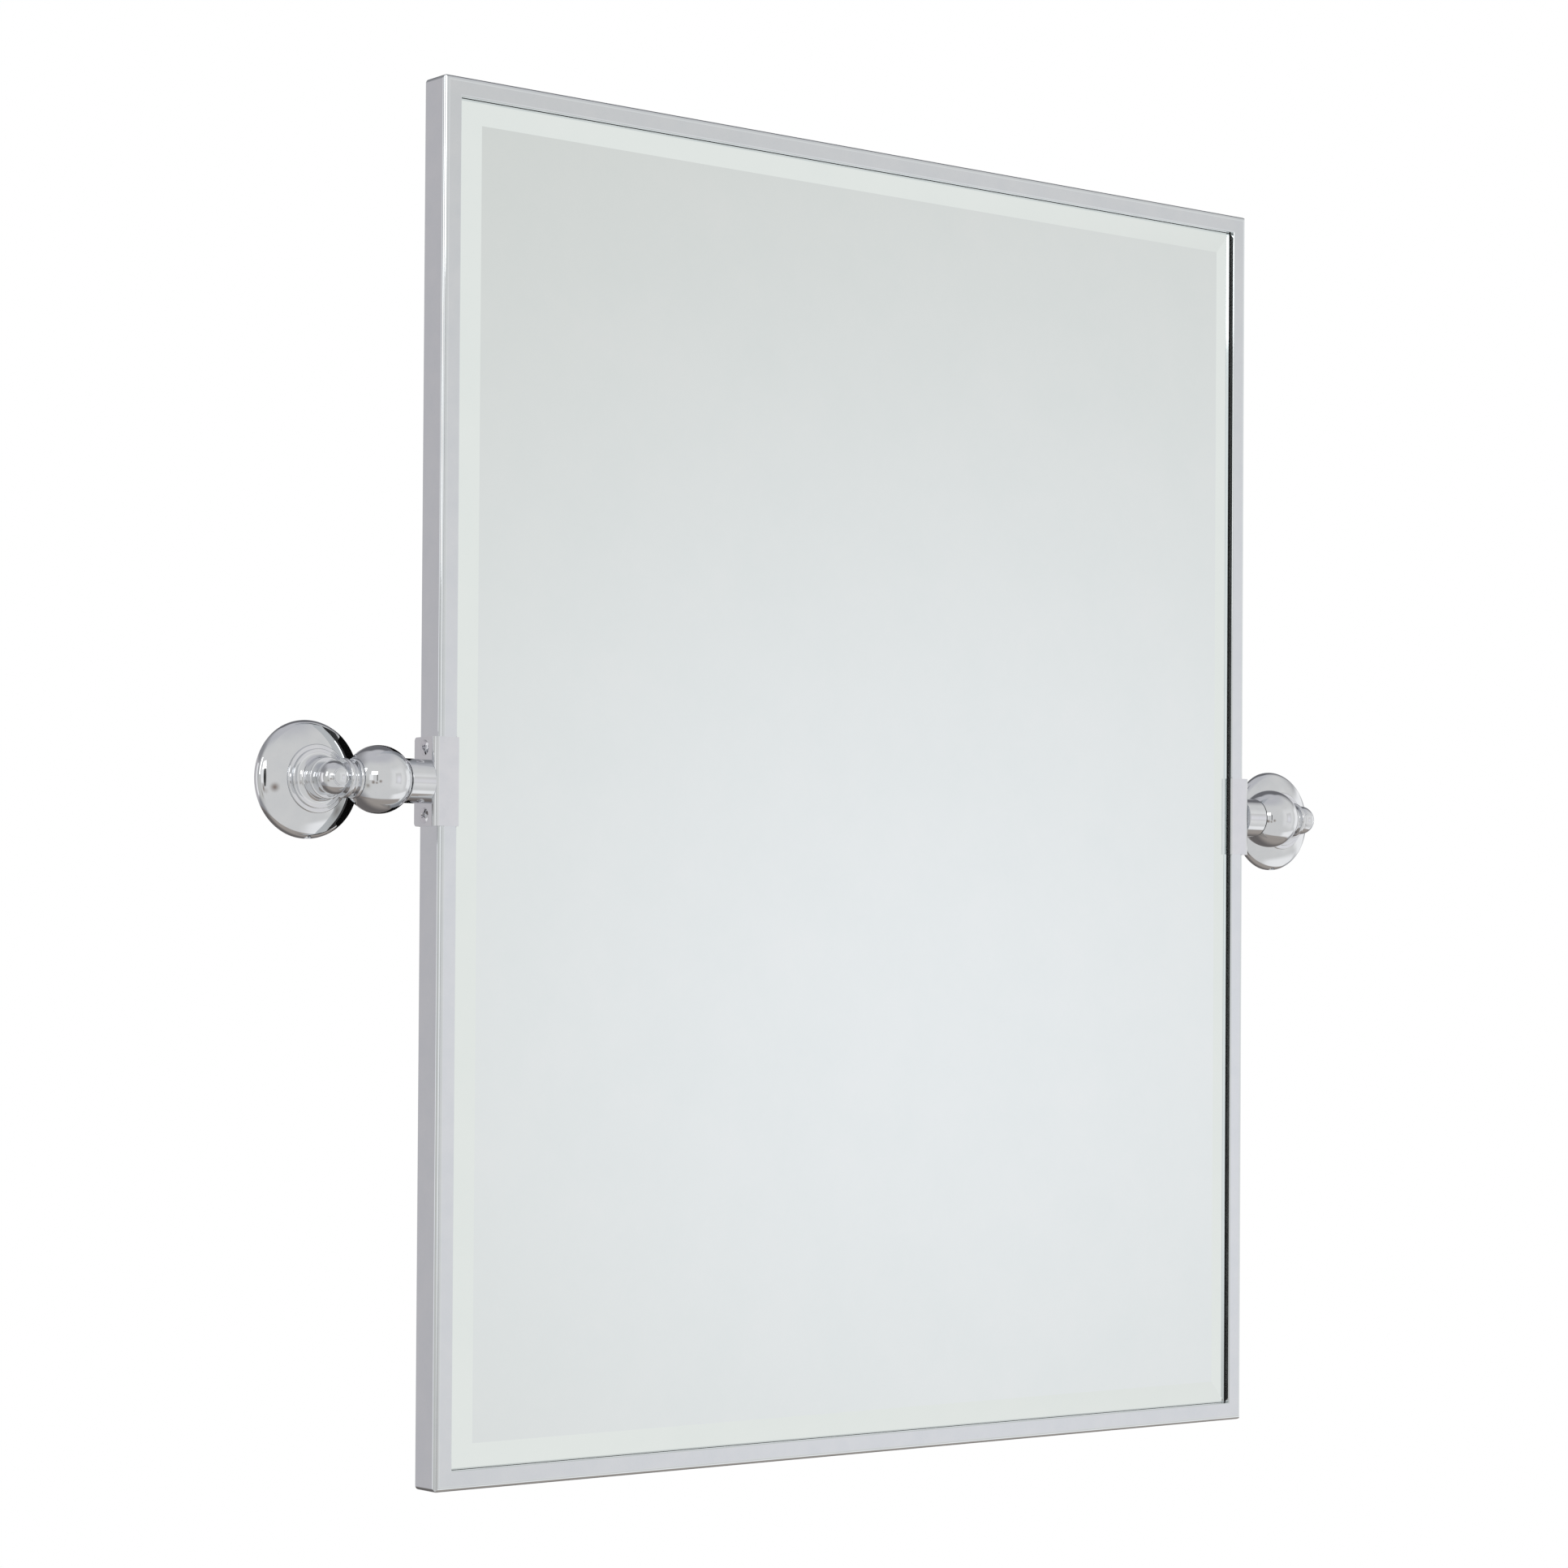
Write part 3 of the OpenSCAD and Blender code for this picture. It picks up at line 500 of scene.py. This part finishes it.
# ------------------------------------------------------------------- studio
# Directions are given as degrees to the right of straight out from the mirror
# and degrees up, as seen from the object.

ALL_ROUND = (-180, 180)
# Broad panels round the studio: right from and to, up from and to, softness of the
# edge, colour. A later one lies over those before it.
PANELS = [
    (ALL_ROUND, (54, 90), 14, "#C9C9CD"),               # overhead
    ((-108, -62), (-34, 4), 12, "#CDCDCA"),             # pale grey, front left
    ((13, 67), (-25, 29), 9, "#EDEDEC"),                # round the reflector
    ((78, 108), (-14, 18), 4, "#FFFFFF"),               # white, far right
    ((-180, -104), (-24, 24), 5, "#C5C2C5"),            # behind, left
    ((-126, -110), (-22, 22), 2, "#FFFFFF"),            # white strip, left
    ((-63, -50), (-5, 14), 1.5, "#FFFFFF"),             # white square, front
    ((112, 180), (-20, 20), 5, "#CFCFD2"),              # behind, right
    ((108, 178), (22, 64), 7, "#727276"),               # dark, behind, upper right
    ((108, 178), (-64, -24), 7, "#4A4847"),             # dark, behind, lower right
    ((-37.5, -34.9), (-8, 13.5), 0.6, "#141312"),       # thin black bar, front
]
# Small soft dark spots: direction, radius, softness, colour
SPOTS = [
    ((-50, -12), 4.5, 4.5, "#8A7F78"),
    ((-25, -9), 3.5, 4.5, "#857870"),
    ((-38, -14), 3, 3.5, "#958A83"),
    ((-70, -22), 4, 6, "#9A948F"),
]
# The even level is what matt surfaces are lit by
EVEN_COLOUR, WHITE, FLOOR_COLOUR = "#E2E3E4", "#FFFFFF", "#E4E4E4"
FRONT_COLOUR, BACK_COLOUR = "#DEDEDD", "#9A9A9D"
# The front turns to the back between these values of y
FRONT_TO_BACK = (-0.2, 0.35)
# The glass shows a reflector that is brightest in this direction and fades round it.
# Its span to the right, its span upwards and its softness are in degrees.
REFLECTOR = (41, -0.5)
REFLECTOR_FADE = 17
REFLECTOR_ACROSS, REFLECTOR_HEIGHT = (28.5, 52), (-11.5, 16.5)
REFLECTOR_SOFT = 2.2
REFLECTOR_COLOURS = ("#F3F2F6", "#DBDAD9")
# Below lies a round brown-grey panel. It is darker at the back and has a dark edge.
BELOW = Vector((0.2, 0.45, -0.87)).normalized()
BELOW_REACH, BELOW_SOFT = 45.5, 6
BELOW_COLOURS = ("#A8A19B", "#706C6B")
BELOW_TO_BACK = (0.1, 0.6)
BELOW_EDGE_HALF, BELOW_EDGE_SOFT, BELOW_EDGE_COLOUR = 1, 3.5, "#7E6E63"
# Beyond its edge, a white arc shows on the front right, this far from the edge
ARC_FROM, ARC_TO, ARC_SOFT, ARC_COLOUR = 3, 18, 3, "#FFFFFF"
ARC_RIGHT, ARC_FRONT = (0.25, 0.6), (0.15, 0.0)


def direction(right, up):
    r, u = math.radians(right), math.radians(up)
    return Vector((math.sin(r) * math.cos(u), -math.cos(r) * math.cos(u), math.sin(u)))


def light_world():
    world = bpy.data.worlds.new("studio")
    bpy.context.scene.world = world
    world.use_nodes = True
    tree = world.node_tree
    tree.nodes.clear()
    place = add(tree, "ShaderNodeTexCoord").outputs["Generated"]
    axes = add(tree, "ShaderNodeSeparateXYZ", inputs={0: place}).outputs
    x, y = axes["X"], axes["Y"]
    aim = {"x": x, "y": y, "z": axes["Z"]}
    work_out(tree, aim, (
        ("out", "MULTIPLY", "y", -1),
        ("turn", "ARCTAN2", "x", "out"),
        ("right", "DEGREES", "turn"),
        ("rise", "ARCSINE", "z"),
        ("up", "DEGREES", "rise"),
    ))
    right, up = aim["right"], aim["up"]

    def angle_from(middle):
        """Degrees between a direction and this middle."""
        dot = add(tree, "ShaderNodeVectorMath", {"operation": "DOT_PRODUCT"}, {
            0: place, 1: middle}).outputs["Value"]
        angle = {"dot": dot}
        work_out(tree, angle, (("angle", "ARCCOSINE", "dot"), ("degrees", "DEGREES", "angle")))
        return angle["degrees"]

    def edges(value, span, soft):
        """The two soft edges of a span of a value."""
        low, high = span
        return [(value, low - soft, low + soft), (value, high + soft, high - soft)]

    def mask(soft_edges):
        """1 where each value is past its soft edge, which rises from start to end."""
        whole = None
        for value, start, end in soft_edges:
            part = add(tree, "ShaderNodeMapRange", {"interpolation_type": "SMOOTHSTEP"}, {
                "Value": value, "From Min": start, "From Max": end}).outputs[0]
            if whole is None:
                whole = part
            else:
                whole = add(tree, "ShaderNodeMath", {"operation": "MULTIPLY"}, {
                    0: whole, 1: part}).outputs[0]
        return whole

    # What lies over the front's colour, first to last: where it is, and its colour
    layers = [(mask([(y, *FRONT_TO_BACK)]), linear(BACK_COLOUR))]
    for across, height, soft, hex_colour in PANELS:
        sides = [] if across == ALL_ROUND else edges(right, across, soft)
        layers.append((mask(edges(up, height, soft) + sides), linear(hex_colour)))
    for middle, radius, soft, hex_colour in SPOTS:
        away = angle_from(direction(*middle))
        layers.append((mask([(away, radius + soft, radius - soft)]), linear(hex_colour)))

    away = angle_from(BELOW)
    below = add(tree, "ShaderNodeMix", {"data_type": "RGBA"}, {
        0: mask([(y, *BELOW_TO_BACK)]),
        6: linear(BELOW_COLOURS[0]), 7: linear(BELOW_COLOURS[1])}).outputs[2]
    layers.append((mask([(away, BELOW_REACH + BELOW_SOFT, BELOW_REACH - BELOW_SOFT)]), below))
    edge_span = (BELOW_REACH - BELOW_EDGE_HALF, BELOW_REACH + BELOW_EDGE_HALF)
    layers.append((mask(edges(away, edge_span, BELOW_EDGE_SOFT)), linear(BELOW_EDGE_COLOUR)))
    arc = edges(away, (BELOW_REACH + ARC_FROM, BELOW_REACH + ARC_TO), ARC_SOFT)
    arc += [(x, *ARC_RIGHT), (y, *ARC_FRONT)]
    layers.append((mask(arc), linear(ARC_COLOUR)))

    reflector = add(tree, "ShaderNodeMix", {"data_type": "RGBA"}, {
        0: mask([(angle_from(direction(*REFLECTOR)), 0, REFLECTOR_FADE)]),
        6: linear(REFLECTOR_COLOURS[0]), 7: linear(REFLECTOR_COLOURS[1])}).outputs[2]
    sides = edges(right, REFLECTOR_ACROSS, REFLECTOR_SOFT)
    sides += edges(up, REFLECTOR_HEIGHT, REFLECTOR_SOFT)
    layers.append((mask(sides), reflector))

    colour = linear(FRONT_COLOUR)
    for share, over in layers:
        colour = add(tree, "ShaderNodeMix", {"data_type": "RGBA"}, {
            0: share, 6: colour, 7: over}).outputs[2]

    # Metal and glass show the studio's panels, the camera sees plain white, and
    # matt surfaces are lit by an even pale level.
    ray = add(tree, "ShaderNodeLightPath").outputs
    shiny = add(tree, "ShaderNodeMath", {"operation": "MAXIMUM"}, {
        0: ray["Is Glossy Ray"], 1: ray["Is Transmission Ray"]}).outputs[0]
    even = add(tree, "ShaderNodeBackground", inputs={"Color": linear(EVEN_COLOUR)}).outputs[0]
    panels = add(tree, "ShaderNodeBackground", inputs={"Color": colour}).outputs[0]
    white = add(tree, "ShaderNodeBackground", inputs={"Color": linear(WHITE)}).outputs[0]
    lit = add(tree, "ShaderNodeMixShader", inputs={0: shiny, 1: even, 2: panels}).outputs[0]
    seen = add(tree, "ShaderNodeMixShader", inputs={
        0: ray["Is Camera Ray"], 1: lit, 2: white}).outputs[0]
    add(tree, "ShaderNodeOutputWorld", inputs={"Surface": seen})


def softbox(name, right, up, width, height, level, distance):
    """A soft lamp whose face has this level, where 1 is white."""
    data = bpy.data.lights.new(name, "AREA")
    data.shape = "RECTANGLE"
    data.size = width
    data.size_y = height
    data.energy = level * math.pi * width * height
    lamp = bpy.data.objects.new(name, data)
    bpy.context.scene.collection.objects.link(lamp)
    away = direction(right, up)
    turned = away.to_track_quat("Z", "Y").to_matrix().to_4x4()
    lamp.matrix_world = Matrix.Translation(away * distance) @ turned
    lamp.visible_camera = False


# How much the floor gives off to the camera, so that it runs out into the white
FLOOR_GLOW = 0.4


def lay_floor(depth, half_size):
    """A plain pale floor below the mirror, which runs out into the white background."""
    mesh = bpy.data.meshes.new("floor")
    corners = [(x * half_size, y * half_size, -depth)
               for x, y in ((-1, -1), (1, -1), (1, 1), (-1, 1))]
    mesh.from_pydata(corners, [], [(0, 1, 2, 3)])
    floor = bpy.data.objects.new("floor", mesh)
    bpy.context.scene.collection.objects.link(floor)
    material, tree = new_material("pale_floor")
    ray = add(tree, "ShaderNodeLightPath").outputs
    shown = add(tree, "ShaderNodeMath", {"operation": "MAXIMUM"}, {
        0: ray["Is Camera Ray"], 1: ray["Is Transmission Ray"]}).outputs[0]
    strength = add(tree, "ShaderNodeMath", {"operation": "MULTIPLY"}, {
        0: shown, 1: FLOOR_GLOW}).outputs[0]
    paint = add(tree, "ShaderNodeBsdfDiffuse", inputs={"Color": linear(FLOOR_COLOUR)}).outputs[0]
    glow = add(tree, "ShaderNodeEmission", inputs={
        "Color": linear(WHITE), "Strength": strength}).outputs[0]
    surface = add(tree, "ShaderNodeAddShader", inputs={0: paint, 1: glow}).outputs[0]
    add(tree, "ShaderNodeOutputMaterial", inputs={"Surface": surface})
    mesh.materials.append(material)
    floor.visible_glossy = False


def black_card(x_mm, near_mm, far_mm, half_height_mm):
    """A black card beside the left mount, behind the mirror, seen only in the chrome's
    reflections: painted shade that stands for the dark space behind the mirror.
    """
    x, near, far, half = (mm(v) for v in (x_mm, near_mm, far_mm, half_height_mm))
    mesh = bpy.data.meshes.new("black_card")
    corners = [(x, near, -half), (x, far, -half), (x, far, half), (x, near, half)]
    mesh.from_pydata(corners, [], [(0, 3, 2, 1)])
    card = bpy.data.objects.new("black_card", mesh)
    bpy.context.scene.collection.objects.link(card)
    # The card's black is painted shade: only reflections see it, not the camera, matt surfaces or
    # shadows.
    material, tree = new_material("painted_shade_card")
    fuzz = add(tree, "ShaderNodeTexNoise", inputs={
        "Scale": 1.0, "Detail": 3.0, "Vector": pattern_space(tree, 0.8)}).outputs["Fac"]
    shader = add(tree, "ShaderNodeBsdfPrincipled", inputs={
        "Roughness": 1.0, "Specular IOR Level": 0.1,
        "Base Color": mottled(tree, fuzz, "#050505", "#101010", 0, 1)}).outputs[0]
    add(tree, "ShaderNodeOutputMaterial", inputs={"Surface": shader})
    mesh.materials.append(material)
    card.visible_camera = card.visible_diffuse = card.visible_shadow = False


light_world()
lay_floor(depth=1.5, half_size=3.0)
black_card(x_mm=-297, near_mm=-15, far_mm=75, half_height_mm=53)
softbox("left_softbox", right=-82, up=19, width=0.9, height=2.4, level=1.6, distance=5.5)
softbox("front_softbox", right=-48, up=18, width=1.9, height=1.0, level=1.8, distance=5.5)
